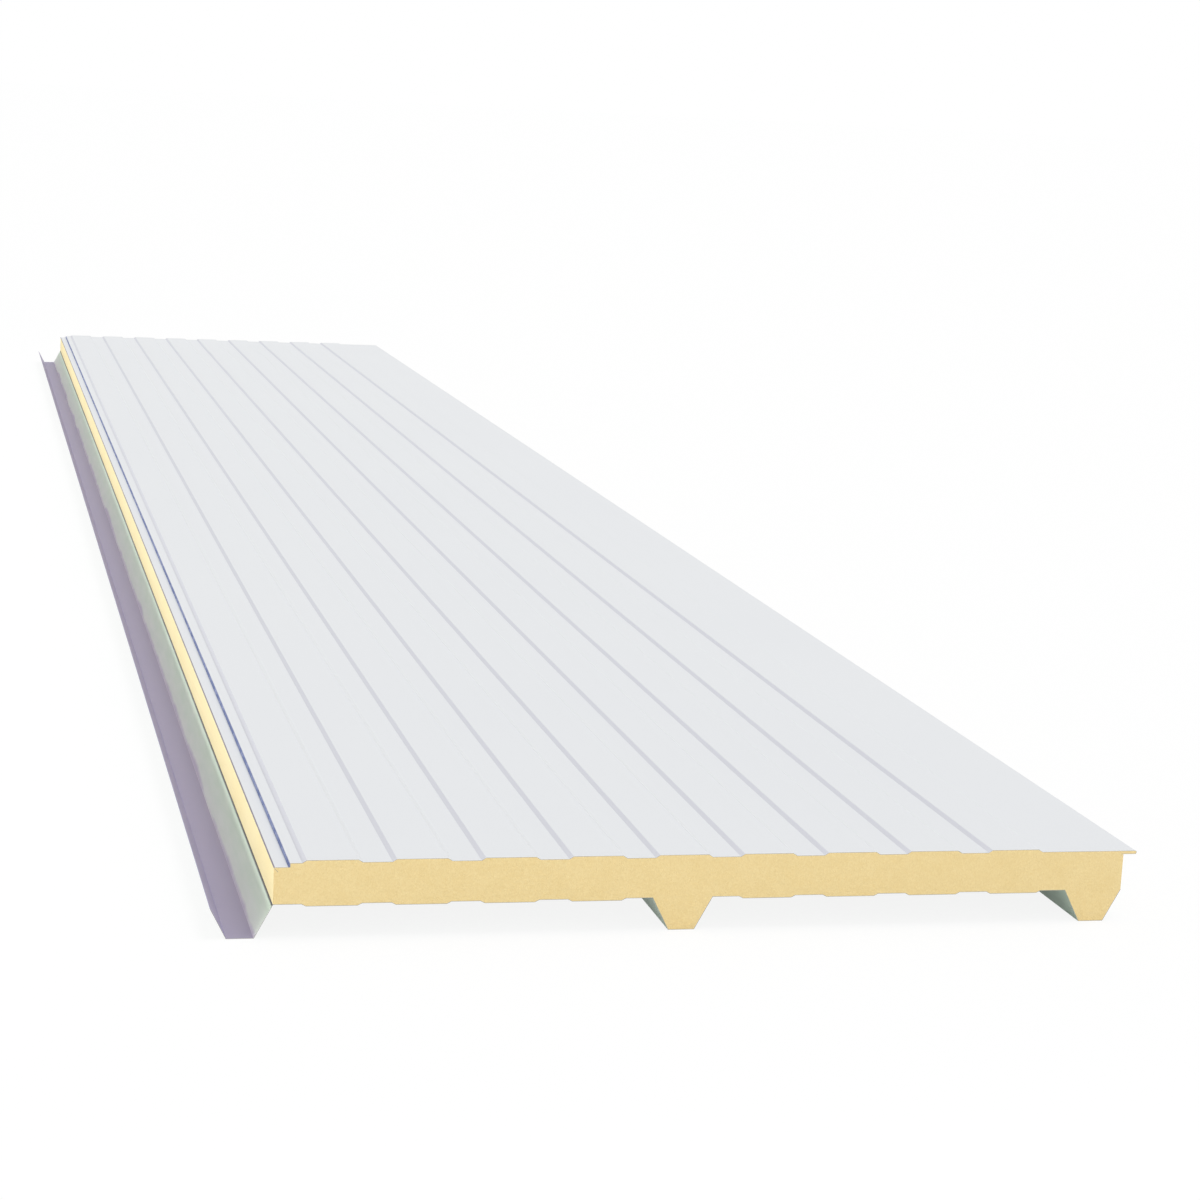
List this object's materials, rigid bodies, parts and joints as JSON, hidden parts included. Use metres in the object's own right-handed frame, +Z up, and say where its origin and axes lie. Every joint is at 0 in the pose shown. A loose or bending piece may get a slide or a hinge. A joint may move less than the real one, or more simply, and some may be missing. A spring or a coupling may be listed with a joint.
{
  "type": "insulated roof sandwich panel",
  "caption": "Foam-cored roof panel with trapezoidal ribs down, a lightly lined flat face up, an empty overlap rib on one side and a folded lip on the other.",
  "frame": {"origin": "middle of the panel's box, at the level of the rib crowns that it lies on", "axes": "+Z up out of the liner face, +Y along the ribs, +X from the empty overlap rib towards the folded lip"},
  "size_m": [1.0848, 6, 0.088],
  "materials": {
    "outer_steel": "satin coil coat, sage grey outside, lilac-grey backing coat inside",
    "rigid_foam": "matt rigid polyurethane foam, sawn ends and smooth skinned sides",
    "liner_steel": "satin coil coat, grey-white",
    "seal_bead": "matt slate-blue sealant"
  },
  "bodies": {
    "root": {"outer_sheet": "outer_steel", "foam_core": "rigid_foam", "liner_sheet": "liner_steel", "joint_seal": "seal_bead"}
  },
  "joints": []
}
